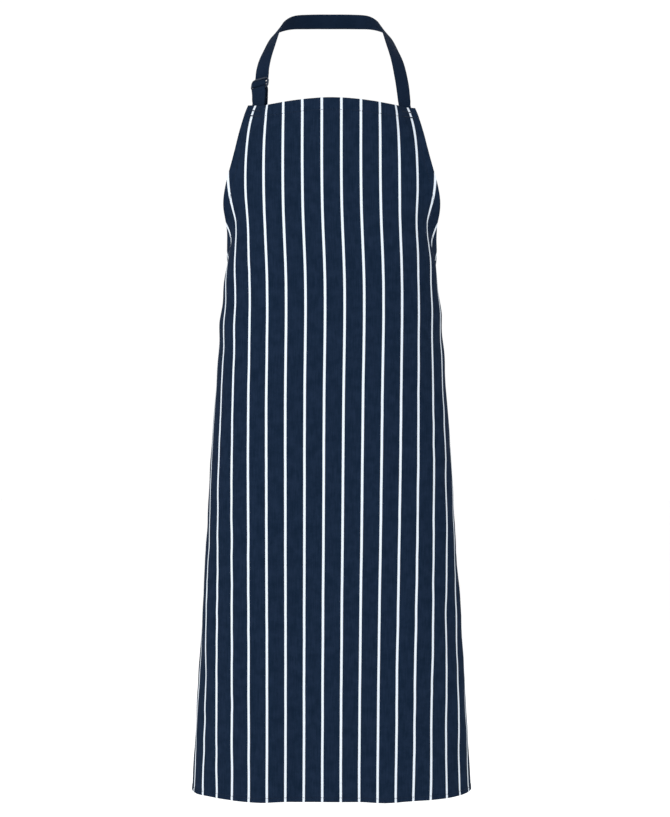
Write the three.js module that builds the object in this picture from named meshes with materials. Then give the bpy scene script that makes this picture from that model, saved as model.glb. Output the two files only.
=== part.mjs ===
// A long striped butcher's apron as it is worn: one draped bib-and-skirt panel with turned and sewn
// hems, a neck strap that is shortened through a three-bar slider, and two waist ties in a bow.
// Millimetres. +Z is up, the apron faces -Y, and +X is the wearer's left. The origin is the middle
// of the neck strap at the back of the neck, where the apron hangs.
import * as THREE from 'three';

// ---------------------------------------------------------------- driving dimensions
const CUT_LENGTH = 1067;        // bib top to hem, 42 in
const CUT_HALF_WIDTH = 355.5;   // half of the 28 in skirt
const BIB_HALF_WIDTH = 143;     // half of the bib's top edge
const ARMHOLE_DEPTH = 290;      // bib top down to the tie corners
const CLOTH = 1.2;              // thickness of the panel's solid
const HEM_CLOTH = 0.8;          // thickness of a turned hem's solid
const TAPE_WIDTH = 25;
const TAPE = 0.9;               // thickness of the tape's solid
const GAP = 0.35;               // gap between a tape and what it passes
const LAYER_GAP = 1.0;          // gap between the panel and the layers sewn on it
const THREAD_WIDTH = 0.9;
const THREAD = 0.5;

const TOP_HEM = 19;             // widths of the turned hems
const BOTTOM_HEM = 8;
const SIDE_HEM = 12;
const STITCH_INSET = 1.5;       // a stitch line runs this far inside its hem's inner edge

const BIB_TOP_Z = -161;         // the bib hangs this far below the neck
const BIB_FRONT_Y = -190;       // and this far in front of it
const SKIRT_LEAN = 90;          // how far back the skirt leans, over a little more than its length
const SKIRT_EASE = 0.02;        // share of the hem's width taken up in ripples too small to draw
const BACK_TURN = 0.38;         // degrees of turn for each millimetre of cloth behind the sides
const TOP_CROWN = 6.5;          // the bib's top edge is this much higher in its middle
const CROWN_REACH = 105;        // out to this far from the middle
const CROWN_DEPTH = 120;        // and the crown has gone this far down the bib

const SLIDER_HALF_WIDTH = 16;
const SLIDER_HALF_HEIGHT = 10;
const SLIDER_THICKNESS = 3.2;
const SLIDER_BAR = 2.8;
const SLIDER_CENTRE_BAR = 2.6;
const SLIDER_SLOT_HALF_WIDTH = 13.2;

const STRAP_CENTRE = 126;       // cloth distance from the bib's middle to the strap's middle
const SLIDER_RISE = 42;         // the slider's middle above the bib's top edge, along the strap
const TIE_DROP = 16;            // the ties' middle below the armhole's end
const TAIL_LENGTH = 470;        // free end of each waist tie below the bow

// ---------------------------------------------------------------- colours
const NAVY = 0x1c2a44;
const TAPE_NAVY = 0x1e2d4a;
const THREAD_NAVY = 0x22324f;
const SLIDER_NAVY = 0x232f4b;

const cotton = (colour, roughness = 0.9) => new THREE.MeshStandardMaterial({
  color: colour, roughness, metalness: 0,
});

const apron = new THREE.Group();

function add(name, geometry, material) {
  const mesh = new THREE.Mesh(geometry, material);
  mesh.name = name;
  apron.add(mesh);
  return mesh;
}

// ---------------------------------------------------------------- small helpers
const clamp01 = (x) => Math.min(1, Math.max(0, x));
const smooth = (x) => clamp01(x) ** 2 * (3 - 2 * clamp01(x));
const radians = THREE.MathUtils.degToRad;
const vec = (x, y, z) => new THREE.Vector3(x, y, z);

// A smooth curve through hand-chosen [place, value] pairs. At each pair its slope is the mean of
// the slopes of the two spans that meet there.
function through(pairs, place) {
  const spans = pairs.length - 1;
  const spanSlope = (k) => (pairs[k + 1][1] - pairs[k][1]) / (pairs[k + 1][0] - pairs[k][0]);
  const slope = (k) => (spanSlope(Math.max(0, k - 1)) + spanSlope(Math.min(spans - 1, k))) / 2;
  let i = 0;
  while (i < spans - 1 && place > pairs[i + 1][0]) i += 1;
  const length = pairs[i + 1][0] - pairs[i][0];
  const t = clamp01((place - pairs[i][0]) / length);
  const rise = pairs[i + 1][1] - pairs[i][1];
  const ease = t * t * (3 - 2 * t);
  const leave = slope(i) * length * t * (1 - t) ** 2;
  const arrive = slope(i + 1) * length * t * t * (1 - t);
  return pairs[i][1] + rise * ease + leave - arrive;
}

// ---------------------------------------------------------------- the cut cloth
// The armhole is a quarter ellipse from the bib's corner out to the tie corner.
function cutHalfWidth(down) {
  const t = Math.min(1, Math.max(0, down) / ARMHOLE_DEPTH);
  return BIB_HALF_WIDTH + (CUT_HALF_WIDTH - BIB_HALF_WIDTH) * (1 - Math.sqrt(1 - t * t));
}

// ---------------------------------------------------------------- the drape
// Each level section leaves the front flat and turns square to it after this much cloth.
const SIDE_REACH = [
  [0, 138], [60, 180], [120, 205], [180, 180], [240, 197], [300, 213], [450, 226], [620, 237],
  [820, 254], [1067, 272],
];

// How suddenly each section turns: higher is a flatter front with tighter sides.
const SECTION_POWER = [[0, 2.2], [150, 2.8], [300, 2.1], [600, 2.5], [1067, 2.9]];

// The cloth sits this far to the wearer's left of the body's middle.
const SLIP = [[0, 1], [150, 1.5], [280, 5.8], [450, 4.4], [700, 2.8], [1067, 0.4]];

// Beside the armholes the free edge stands off the body, so it turns less than the rest.
const EDGE_FLARE = [[0, 0.86], [70, 0.77], [200, 0.42], [290, 0]];
const FLARE_WIDTH = 34;

function turn(across, down) {
  const reach = through(SIDE_REACH, down);
  const front = 90 * Math.min(1, across / reach) ** through(SECTION_POWER, down);
  const back = BACK_TURN * Math.max(0, across - reach);
  const flare = through(EDGE_FLARE, down);
  const nearEdge = smooth((across - cutHalfWidth(down) + FLARE_WIDTH) / FLARE_WIDTH);
  return radians((front + back) * (1 - flare * nearEdge));
}

// Place of the cloth point that lies `across` from the middle and `down` from the bib's top.
const WALK_STEPS = 96;
const EASE_START = 330;
const EASE_LENGTH = 600;
function drape(across, down) {
  const place = across + through(SLIP, down);
  const step = Math.abs(place) / WALK_STEPS;
  const drawnIn = 1 - SKIRT_EASE * smooth((down - EASE_START) / EASE_LENGTH);
  let x = 0;
  let y = 0;
  for (let i = 0; i < WALK_STEPS; i += 1) {
    const angle = turn((i + 0.5) * step, down);
    x += Math.cos(angle) * step * drawnIn;
    y += Math.sin(angle) * step * drawnIn;
  }
  const lean = SKIRT_LEAN * smooth((down - ARMHOLE_DEPTH) / (CUT_LENGTH * 1.2 - ARMHOLE_DEPTH));
  const drop = TOP_CROWN * smooth(Math.abs(across) / CROWN_REACH) * (1 - smooth(down / CROWN_DEPTH));
  return vec(Math.sign(place) * x, BIB_FRONT_Y + lean + y, BIB_TOP_Z - down - drop);
}

// ---------------------------------------------------------------- the panel's grid
const COLUMNS = 32;
const ARMHOLE_ROWS = 18;
const SKIRT_ROWS = 13;

const rowDown = [];
for (let i = 0; i <= ARMHOLE_ROWS; i += 1) {
  rowDown.push(ARMHOLE_DEPTH * Math.sin((i / ARMHOLE_ROWS) * Math.PI / 2));
}
for (let i = 1; i <= SKIRT_ROWS; i += 1) {
  rowDown.push(ARMHOLE_DEPTH + (CUT_LENGTH - ARMHOLE_DEPTH) * (i / SKIRT_ROWS));
}

const columnShare = [];
for (let j = 0; j <= COLUMNS; j += 1) columnShare.push((2 * j) / COLUMNS - 1);

// Outward normal of the drape, by differences along and across the cloth.
const PROBE = 2;
function outward(across, down) {
  const alongX = drape(across + PROBE, down).sub(drape(across - PROBE, down));
  const alongDown = drape(across, down + PROBE).sub(drape(across, down - PROBE));
  return alongX.cross(alongDown).multiplyScalar(-1).normalize();
}

const panelGrid = rowDown.map((down) => columnShare.map((share) => {
  const across = share * cutHalfWidth(down);
  return { at: drape(across, down), out: outward(across, down) };
}));

// A point between the grid's own points, so that layers laid on the panel keep their gap to it.
function onPanel(row, column, offset) {
  const i = Math.min(panelGrid.length - 2, Math.floor(row));
  const j = Math.min(COLUMNS - 1, Math.floor(column));
  const corners = [panelGrid[i][j], panelGrid[i][j + 1], panelGrid[i + 1][j], panelGrid[i + 1][j + 1]];
  const down = row - i;
  const along = column - j;
  const shares = [(1 - down) * (1 - along), (1 - down) * along, down * (1 - along), down * along];
  const point = vec(0, 0, 0);
  corners.forEach((corner, k) => {
    point.addScaledVector(corner.at, shares[k]);
    point.addScaledVector(corner.out, shares[k] * offset);
  });
  return point;
}

function rowAt(down) {
  let i = 0;
  while (i < rowDown.length - 2 && down > rowDown[i + 1]) i += 1;
  return i + (down - rowDown[i]) / (rowDown[i + 1] - rowDown[i]);
}

const columnAt = (across, down) => ((across / cutHalfWidth(down) + 1) * COLUMNS) / 2;

// ---------------------------------------------------------------- closed solids
// Two facing grids of points, outer and inner, become one closed shell.
function shell(outer, inner) {
  const rows = outer.length;
  const columns = outer[0].length;
  const positions = [];
  outer.concat(inner).flat().forEach((p) => positions.push(p.x, p.y, p.z));
  const index = (layer, i, j) => layer * rows * columns + i * columns + j;
  const faces = [];
  const quad = (a, b, c, d) => faces.push(a, b, c, a, c, d);
  for (let i = 0; i < rows - 1; i += 1) {
    for (let j = 0; j < columns - 1; j += 1) {
      quad(index(0, i, j), index(0, i + 1, j), index(0, i + 1, j + 1), index(0, i, j + 1));
      quad(index(1, i, j), index(1, i, j + 1), index(1, i + 1, j + 1), index(1, i + 1, j));
    }
  }
  const last = columns - 1;
  for (let i = 0; i < rows - 1; i += 1) {
    quad(index(0, i, 0), index(1, i, 0), index(1, i + 1, 0), index(0, i + 1, 0));
    quad(index(0, i + 1, last), index(1, i + 1, last), index(1, i, last), index(0, i, last));
  }
  for (let j = 0; j < columns - 1; j += 1) {
    quad(index(0, 0, j + 1), index(1, 0, j + 1), index(1, 0, j), index(0, 0, j));
    quad(index(0, rows - 1, j), index(1, rows - 1, j), index(1, rows - 1, j + 1), index(0, rows - 1, j + 1));
  }
  const geometry = new THREE.BufferGeometry();
  geometry.setAttribute('position', new THREE.Float32BufferAttribute(positions, 3));
  geometry.setIndex(faces);
  geometry.computeVertexNormals();
  return geometry;
}

// A patch of cloth over the panel between two offsets from its middle surface.
function patch(rowLine, columnLine, low, high) {
  const line = (row, offset) => columnLine(row).map((column) => onPanel(row, column, offset));
  const layer = (offset) => rowLine.map((row) => line(row, offset));
  return shell(layer(high), layer(low));
}

// Rows from one place to another that stop at every grid row, and `parts` times between.
function rowsBetween(from, to, parts = 1) {
  const rows = [from];
  for (let i = Math.floor(from * parts) + 1; i < to * parts - 0.1; i += 1) rows.push(i / parts);
  return rows.concat(to);
}

const allColumns = () => columnShare.map((share, j) => j);

// Columns that follow the panel's edge on one side, `near` to `far` millimetres in from it.
function besideEdge(side, near, far) {
  return (row) => {
    const i = Math.min(rowDown.length - 2, Math.floor(row));
    const down = rowDown[i] + (rowDown[i + 1] - rowDown[i]) * (row - i);
    const width = cutHalfWidth(down);
    const column = (inset) => columnAt(side * (width - inset), down);
    const ends = [column(far), column(near)].sort((a, b) => a - b);
    return ends;
  };
}

// ---------------------------------------------------------------- panel, hems and their stitches
const FRONT = CLOTH / 2;
const HEM_OUTER = -(CLOTH / 2 + LAYER_GAP);
const HEM_INNER = HEM_OUTER - HEM_CLOTH;
const THREAD_LOW = FRONT + LAYER_GAP;
const THREAD_HIGH = THREAD_LOW + THREAD;

const LAST_ROW = rowDown.length - 1;
const HEM_CLEAR = 1.5;          // room between two hems that meet at a corner

function panel() {
  add('apron_panel', patch(rowsBetween(0, LAST_ROW), allColumns, -FRONT, FRONT), cotton(NAVY));
}

function topHem() {
  const rows = [rowAt(0), rowAt(TOP_HEM)];
  add('top_hem', patch(rows, allColumns, HEM_INNER, HEM_OUTER), cotton(NAVY));
  const line = TOP_HEM - STITCH_INSET;
  const stitchRows = [rowAt(line - THREAD_WIDTH), rowAt(line)];
  add('top_hem_stitching', patch(stitchRows, allColumns, THREAD_LOW, THREAD_HIGH), cotton(THREAD_NAVY));
}

function bottomHem() {
  const rows = [rowAt(CUT_LENGTH - BOTTOM_HEM), rowAt(CUT_LENGTH)];
  add('bottom_hem', patch(rows, allColumns, HEM_INNER, HEM_OUTER), cotton(NAVY));
  const line = CUT_LENGTH - BOTTOM_HEM + STITCH_INSET;
  const stitchRows = [rowAt(line), rowAt(line + THREAD_WIDTH)];
  add('bottom_hem_stitching', patch(stitchRows, allColumns, THREAD_LOW, THREAD_HIGH), cotton(THREAD_NAVY));
}

// Armhole and side hems run down one edge, clear of the hems and tapes across their ends.
function edgeHem(name, side, from, to, parts) {
  const rows = rowsBetween(rowAt(from), rowAt(to), parts);
  add(`${name}_hem`, patch(rows, besideEdge(side, 0, SIDE_HEM), HEM_INNER, HEM_OUTER), cotton(NAVY));
  const inset = SIDE_HEM - STITCH_INSET;
  const stitch = besideEdge(side, inset - THREAD_WIDTH, inset);
  add(`${name}_stitching`, patch(rows, stitch, THREAD_LOW, THREAD_HIGH), cotton(THREAD_NAVY));
}

function edgeHems() {
  const armholeStart = TOP_HEM + HEM_CLEAR;
  const armholeEnd = ARMHOLE_DEPTH - 2 * HEM_CLEAR;
  const sideStart = ARMHOLE_DEPTH + HEM_CLEAR;
  const sideEnd = CUT_LENGTH - BOTTOM_HEM - HEM_CLEAR;
  [['right', -1], ['left', 1]].forEach(([hand, side]) => {
    edgeHem(`armhole_${hand}`, side, armholeStart, armholeEnd, 3);
    edgeHem(`side_${hand}`, side, sideStart, sideEnd, 1);
  });
}

// ---------------------------------------------------------------- tapes
// A tape is a flat ribbon along stations of { at, across }, across being its width's direction.
function ribbon(stations, width = TAPE_WIDTH, thickness = TAPE) {
  const outer = [];
  const inner = [];
  stations.forEach(({ at, across }, i) => {
    const before = stations[Math.max(0, i - 1)].at;
    const after = stations[Math.min(stations.length - 1, i + 1)].at;
    const along = after.clone().sub(before).normalize();
    const wide = across.clone().addScaledVector(along, -across.dot(along)).normalize();
    const out = along.clone().cross(wide);
    const corner = (w, t) => (
      at.clone().addScaledVector(wide, w * width / 2).addScaledVector(out, t * thickness / 2)
    );
    outer.push([corner(-1, 1), corner(1, 1)]);
    inner.push([corner(-1, -1), corner(1, -1)]);
  });
  return shell(outer, inner);
}

// Half of the neck loop, from the back of the neck down to the bib: place and width direction.
const NECK_RUN = [
  [[0, 0, 0], [0, -0.62, 0.79]],
  [[34, -7, -2], [-0.12, -0.62, 0.78]],
  [[62, -24, -8], [-0.3, -0.62, 0.72]],
  [[79, -45, -21], [-0.5, -0.6, 0.6]],
  [[86, -60, -34], [-0.62, -0.6, 0.45]],
  [[94, -95, -64], [-0.74, -0.6, 0.28]],
  [[101.5, -120, -93], [-0.8, -0.56, 0.14]],
  [[107.5, -134, -127], [-0.83, -0.53, 0.1]],
];

// The sewn end follows the bib: its middle is STRAP_CENTRE out, and it is flat on the cloth.
function sewnFrame(side, down) {
  const at = drape(side * STRAP_CENTRE, Math.max(0, down));
  const half = TAPE_WIDTH / 2;
  const inner = drape(side * (STRAP_CENTRE - half), Math.max(0, down));
  const outer = drape(side * (STRAP_CENTRE + half), Math.max(0, down));
  at.lerp(inner.clone().add(outer).multiplyScalar(0.5), 0.5);
  return { at, across: inner.sub(outer).normalize() };
}

// The strap's middle line, from the wearer's left corner (+X) over the neck to the slider's side.
function neckLine() {
  const half = (side) => {
    const free = NECK_RUN.map(([at, across]) => ({
      at: vec(side * at[0], at[1], at[2]),
      across: vec(side * across[0], across[1], across[2]),
    }));
    return free.concat([sewnFrame(side, 0), sewnFrame(side, TOP_HEM)]);
  };
  const left = half(1).reverse();
  const right = half(-1).slice(1);
  return left.concat(right);
}

const LINE_SAMPLES = 600;
const neck = (() => {
  const stations = neckLine();
  const places = new THREE.CatmullRomCurve3(stations.map((s) => s.at), false, 'centripetal');
  const widths = new THREE.CatmullRomCurve3(stations.map((s) => s.across), false, 'catmullrom', 0.5);
  const samples = [];
  let length = 0;
  for (let i = 0; i <= LINE_SAMPLES; i += 1) {
    const at = places.getPoint(i / LINE_SAMPLES);
    if (i > 0) length += at.distanceTo(samples[i - 1].at);
    samples.push({ at, across: widths.getPoint(i / LINE_SAMPLES), length });
  }
  return { samples, length };
})();

// Frame of the strap at a distance along it; `out` points away from the wearer.
function neckFrame(distance) {
  const { samples } = neck;
  let i = samples.findIndex((s) => s.length >= distance);
  if (i < 1) i = distance <= 0 ? 1 : samples.length - 1;
  const a = samples[i - 1];
  const b = samples[i];
  const share = (distance - a.length) / (b.length - a.length);
  const at = a.at.clone().lerp(b.at, share);
  const along = b.at.clone().sub(a.at).normalize();
  const across = a.across.clone().lerp(b.across, share);
  across.addScaledVector(along, -across.dot(along)).normalize();
  return { at, along, across, out: along.clone().cross(across) };
}

// A tape laid along the strap's line, from hand-chosen [distance, offset outward] points.
function tapeAlong(route, steps) {
  const points = route.map(([distance, offset]) => vec(distance, offset, 0));
  const curve = new THREE.CatmullRomCurve3(points, false, 'centripetal');
  const stations = [];
  for (let i = 0; i <= steps; i += 1) {
    const { x, y } = curve.getPoint(i / steps);
    const frame = neckFrame(x);
    stations.push({ at: frame.at.addScaledVector(frame.out, y), across: frame.across });
  }
  return ribbon(stations);
}

const SEWN_TOP = neck.length - TOP_HEM;          // where the strap's line crosses the bib's top
const SLIDER_AT = SEWN_TOP - SLIDER_RISE;
const TAB_FRONT = -6.2;                          // offsets of the layers behind the bib's corner
const TAB_BACK = -7.6;
const TAIL_BEHIND = -10;
const TAB_SLACK = 0.2;                           // the tab's fold stands this much off the bar
const BAR_MIDDLE = SLIDER_HALF_HEIGHT - SLIDER_BAR / 2;
const OVER = SLIDER_THICKNESS / 2 + GAP + TAPE / 2;

// Sewn behind the wearer's left corner, round the neck and over the slider's centre bar.
function neckStrap() {
  const sewn = TAB_FRONT + 0.8;
  const s = SLIDER_AT;
  const steps = 84;
  add('neck_strap', tapeAlong([
    [1.5, sewn], [TOP_HEM - 2, sewn], [TOP_HEM + 10, sewn / 3], [TOP_HEM + 24, 0],
    [neck.length / 2, 0],
    [s - 26, 0], [s - 16, -1.4], [s - BAR_MIDDLE, -OVER - 0.3], [s - 5, -1.4], [s - 1.9, OVER - 0.2],
    [s, OVER + 0.1], [s + 1.7, OVER - 0.2], [s + 3, 0], [s + 4, -OVER - 0.3],
  ], steps), cotton(TAPE_NAVY));
}

// The free end comes out behind the tab and hangs behind the bib.
const TAIL_START = [4.6, -4.4];
function strapTail() {
  const s = SLIDER_AT;
  add('strap_tail', tapeAlong([
    [s + TAIL_START[0], TAIL_START[1]], [s + 9, -6.4], [s + 16, -6.9],
    [SEWN_TOP - 4, TAIL_BEHIND], [neck.length - 1, TAIL_BEHIND - 0.6],
  ], 16), cotton(TAPE_NAVY));
}

// Short tab sewn behind the wearer's right corner and folded round the slider's lower bar.
function sliderTab() {
  const bar = SLIDER_AT + BAR_MIDDLE;
  const round = Math.hypot(SLIDER_BAR, SLIDER_THICKNESS) / 2 + GAP + TAB_SLACK + TAPE / 2;
  add('slider_tab', tapeAlong([
    [neck.length - 1.5, TAB_FRONT], [SEWN_TOP + 1, TAB_FRONT], [SEWN_TOP - 9, -1.5],
    [bar + 7, 0.9], [bar + 2, round - 0.4], [bar, round], [bar - 0.7 * round, 0.7 * round],
    [bar - round, 0], [bar - 0.7 * round, -0.7 * round],
    [bar, -round], [bar + 2, 0.4 - round], [bar + 7, -1.8], [SEWN_TOP - 9, -3.6],
    [SEWN_TOP + 1, TAB_BACK], [neck.length - 1.5, TAB_BACK],
  ], 60), cotton(TAPE_NAVY));
}

// Three-bar slider: a plate with round ends and two slots, turned to the strap's frame.
function slider() {
  const outline = new THREE.Shape();
  const flat = SLIDER_HALF_WIDTH - 5;
  outline.moveTo(-flat, -SLIDER_HALF_HEIGHT);
  outline.lineTo(flat, -SLIDER_HALF_HEIGHT);
  outline.quadraticCurveTo(SLIDER_HALF_WIDTH, -SLIDER_HALF_HEIGHT, SLIDER_HALF_WIDTH, 0);
  outline.quadraticCurveTo(SLIDER_HALF_WIDTH, SLIDER_HALF_HEIGHT, flat, SLIDER_HALF_HEIGHT);
  outline.lineTo(-flat, SLIDER_HALF_HEIGHT);
  outline.quadraticCurveTo(-SLIDER_HALF_WIDTH, SLIDER_HALF_HEIGHT, -SLIDER_HALF_WIDTH, 0);
  outline.quadraticCurveTo(-SLIDER_HALF_WIDTH, -SLIDER_HALF_HEIGHT, -flat, -SLIDER_HALF_HEIGHT);
  const slotFar = SLIDER_HALF_HEIGHT - SLIDER_BAR;
  const slotNear = SLIDER_CENTRE_BAR / 2;
  [-1, 1].forEach((side) => {
    const slot = new THREE.Path();
    slot.moveTo(-SLIDER_SLOT_HALF_WIDTH, side * slotNear);
    slot.lineTo(-SLIDER_SLOT_HALF_WIDTH, side * slotFar);
    slot.lineTo(SLIDER_SLOT_HALF_WIDTH, side * slotFar);
    slot.lineTo(SLIDER_SLOT_HALF_WIDTH, side * slotNear);
    slot.closePath();
    outline.holes.push(slot);
  });
  const plate = new THREE.ExtrudeGeometry(outline, {
    depth: SLIDER_THICKNESS, bevelEnabled: false, curveSegments: 8,
  });
  plate.translate(0, 0, -SLIDER_THICKNESS / 2);
  const frame = neckFrame(SLIDER_AT);
  const mesh = add('slider', plate, new THREE.MeshStandardMaterial({
    color: SLIDER_NAVY, roughness: 0.35, metalness: 0,
  }));
  const basis = new THREE.Matrix4().makeBasis(frame.across, frame.along.clone().negate(), frame.out);
  mesh.setRotationFromMatrix(basis);
  mesh.position.copy(frame.at);
}

// ---------------------------------------------------------------- stitching of the tapes
// A sewn mark is a thin closed frame or bar on the panel's front, at cloth places in millimetres.
function stitchBar(name, side, middle, halfLength, down) {
  const ends = (row) => {
    const i = Math.min(rowDown.length - 2, Math.floor(row));
    const level = rowDown[i] + (rowDown[i + 1] - rowDown[i]) * (row - i);
    const near = columnAt(side * (middle - halfLength), level);
    const far = columnAt(side * (middle + halfLength), level);
    const [low, high] = [near, far].sort((a, b) => a - b);
    const columns = [low];
    for (let j = Math.floor(low) + 1; j < high; j += 1) columns.push(j);
    return columns.concat(high);
  };
  const rows = [rowAt(down), rowAt(down + THREAD_WIDTH)];
  add(name, patch(rows, ends, THREAD_LOW, THREAD_HIGH), cotton(THREAD_NAVY));
}

function strapStitches() {
  [['right', -1], ['left', 1]].forEach(([hand, side]) => {
    stitchBar(`strap_stitch_upper_${hand}`, side, STRAP_CENTRE, 11, 6);
    stitchBar(`strap_stitch_lower_${hand}`, side, STRAP_CENTRE, 11, 12.5);
  });
}

// ---------------------------------------------------------------- waist ties and their bow
const BOW = vec(0, 48, BIB_TOP_Z - ARMHOLE_DEPTH - TIE_DROP);
const KNOT_HALF_WIDTH = 11;
const KNOT_HALF_HEIGHT = 14;
const KNOT_HALF_DEPTH = 8;
const LOOP_DROOP = radians(24);
const UP = vec(0, 0, 1);

function curveStations(points, across, steps) {
  const curve = new THREE.CatmullRomCurve3(points, false, 'centripetal');
  const stations = [];
  for (let i = 0; i <= steps; i += 1) stations.push({ at: curve.getPoint(i / steps), across });
  return stations;
}

// From inside the side hem, round the wearer's back to the knot. The sewn end leans as the cloth does.
function waistBand(hand, side) {
  const down = ARMHOLE_DEPTH + TIE_DROP;
  const inside = HEM_INNER - LAYER_GAP - TAPE / 2;
  const sewn = (inset) => (
    onPanel(rowAt(down), columnAt(side * (CUT_HALF_WIDTH - inset), down), inside)
  );
  const beyond = sewn(2).add(sewn(2).sub(sewn(14)));
  const edge = side * (CUT_HALF_WIDTH - 2);
  const lean = drape(edge, down - TAPE_WIDTH / 2).sub(drape(edge, down + TAPE_WIDTH / 2)).normalize();
  const z = BOW.z;
  const points = [
    sewn(24), sewn(14), sewn(2), beyond, vec(side * 62, 29, z), vec(side * 36, 39, z),
    vec(side * (KNOT_HALF_WIDTH + GAP), BOW.y - 1, z),
  ];
  const steps = 24;
  const stations = curveStations(points, UP, steps);
  stations.forEach((station, i) => {
    station.across = lean.clone().lerp(UP, smooth(2 * i / steps - 0.8));
  });
  add(`waist_tie_${hand}`, ribbon(stations), cotton(TAPE_NAVY));
}

// The loop leaves the knot, folds over at its tip and comes back behind itself.
function bowLoop(hand, side) {
  const along = vec(side * Math.cos(LOOP_DROOP), 0, -Math.sin(LOOP_DROOP));
  const across = vec(side * Math.sin(LOOP_DROOP), 0, Math.cos(LOOP_DROOP));
  const place = (out, back) => BOW.clone().add(vec(0, back, 0)).addScaledVector(along, out);
  const start = KNOT_HALF_WIDTH + 5;
  const points = [
    place(start, 5.4), place(34, 6), place(62, 4.8), place(86, 5), place(94, 9.5), place(87, 14),
    place(62, 16), place(36, 13), place(start, 8.2),
  ];
  add(`bow_loop_${hand}`, ribbon(curveStations(points, across, 32)), cotton(TAPE_NAVY));
}

const TAIL_SPREAD = 14;         // the tails hang this far beside the middle
const TAIL_APART = 2.5;         // and one before the other, so that they can swing past
const TAIL_CLEAR = 3.8;         // room under the knot for a swinging tail's corner
function tieTail(hand, side) {
  const top = BOW.z - KNOT_HALF_HEIGHT - TAIL_CLEAR;
  const points = [0, 0.25, 0.5, 0.75, 1].map((share, i) => (
    vec(side * TAIL_SPREAD, BOW.y - side * TAIL_APART + (i % 2), top - share * TAIL_LENGTH)
  ));
  const across = vec(1, 0, 0);
  add(`tie_tail_${hand}`, ribbon(curveStations(points, across, 20)), cotton(TAPE_NAVY));
}

function bowKnot() {
  const knot = new THREE.SphereGeometry(1, 20, 12);
  knot.scale(KNOT_HALF_WIDTH, KNOT_HALF_DEPTH, KNOT_HALF_HEIGHT);
  const mesh = add('bow_knot', knot, cotton(TAPE_NAVY));
  mesh.position.copy(BOW);
}

function tieStitches() {
  [['right', -1], ['left', 1]].forEach(([hand, side]) => {
    stitchBar(`tie_stitch_${hand}`, side, CUT_HALF_WIDTH - 17, 6, ARMHOLE_DEPTH + TIE_DROP);
  });
}

panel();
topHem();
bottomHem();
edgeHems();
neckStrap();
strapTail();
sliderTab();
slider();
strapStitches();
[['right', -1], ['left', 1]].forEach(([hand, side]) => {
  waistBand(hand, side);
  bowLoop(hand, side);
  tieTail(hand, side);
});
bowKnot();
tieStitches();

export default apron;
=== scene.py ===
"""A long striped butcher's apron, worn and tied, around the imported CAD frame.

Lengths are in metres. The cloth is described by its flat cut: `across` is the distance from the
middle of the apron, `down` the distance from the bib's top edge.
"""
import math

import bmesh
import bpy
import numpy as np
from mathutils import Matrix, Vector


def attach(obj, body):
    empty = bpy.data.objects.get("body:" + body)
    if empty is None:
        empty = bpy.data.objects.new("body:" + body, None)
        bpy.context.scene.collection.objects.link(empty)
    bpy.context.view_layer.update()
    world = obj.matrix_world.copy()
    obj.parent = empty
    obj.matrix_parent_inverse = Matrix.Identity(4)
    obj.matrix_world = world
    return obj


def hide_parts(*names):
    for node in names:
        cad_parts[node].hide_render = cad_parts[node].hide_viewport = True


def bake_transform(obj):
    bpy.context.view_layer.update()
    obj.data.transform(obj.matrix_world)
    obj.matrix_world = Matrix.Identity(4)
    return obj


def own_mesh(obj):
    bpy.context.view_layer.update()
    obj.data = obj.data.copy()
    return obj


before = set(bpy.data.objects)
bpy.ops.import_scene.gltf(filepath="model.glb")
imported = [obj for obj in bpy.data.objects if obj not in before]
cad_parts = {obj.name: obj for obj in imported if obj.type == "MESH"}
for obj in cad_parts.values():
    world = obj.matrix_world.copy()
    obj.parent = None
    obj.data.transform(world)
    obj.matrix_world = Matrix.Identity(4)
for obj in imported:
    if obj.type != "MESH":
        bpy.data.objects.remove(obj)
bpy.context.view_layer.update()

MM = 0.001

# ---- the flat cut
CUT_LENGTH = 1.067
CUT_HALF_WIDTH = 0.3555
BIB_HALF_WIDTH = 0.143
ARMHOLE_DEPTH = 0.290
ARMHOLE_GROWTH = CUT_HALF_WIDTH - BIB_HALF_WIDTH  # the cut is this much wider below the armhole
STRIPE_PITCH = 29 * MM
STRIPE_WIDTH = 3.6 * MM
CLOTH = 0.6 * MM
TAPE_WIDTH = 25 * MM
TAPE = 1.1 * MM
TOP_HEM = 19 * MM
BOTTOM_HEM = 8 * MM
SIDE_HEM = 12 * MM
STITCH_INSET = 1.5 * MM
SIDES = (("right", -1), ("left", 1))  # the wearer's right is toward -X

# ---- the drape, as in the CAD but for the lifted corner
BIB_TOP_Z = -0.161
BIB_FRONT_Y = -0.190
SKIRT_LEAN = 0.090
SKIRT_EASE = 0.02
BACK_TURN = math.radians(0.38) / MM  # further turn behind the sides
TOP_CROWN = 6.5 * MM  # the bib's top edge is higher in its middle
CROWN_REACH = 105 * MM
CROWN_DEPTH = 120 * MM
CORNER_LIFT = 0.6  # the strap lifts the slider's corner by this share of the crown
CORNER_REACH = 32 * MM
# Each pair is millimetres down the cut and a value there: the millimetres of cloth from the middle
# to the wearer's side, how square that turn is, the millimetres of sideways slip, and the share of
# its turn that the cloth lacks beside its free edge.
SIDE_REACH = [
    (0, 138), (60, 180), (120, 205), (180, 180), (240, 197), (300, 213), (450, 226), (620, 237),
    (820, 254), (1067, 272),
]
SECTION_POWER = [(0, 2.2), (150, 2.8), (300, 2.1), (600, 2.5), (1067, 2.9)]
SLIP = [(0, 1), (150, 1.5), (280, 5.8), (450, 4.4), (700, 2.8), (1067, 0.4)]
EDGE_FLARE = [(0, 0.86), (70, 0.77), (200, 0.42), (290, 0)]
FLARE_WIDTH = 34 * MM


def smooth(x):
    x = np.clip(x, 0, 1)
    return x * x * (3 - 2 * x)


def bell(offset, width):
    return np.exp(-(offset / width) ** 2)


def unit(v):
    return v / np.linalg.norm(v, axis=-1, keepdims=True).clip(1e-12)


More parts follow.
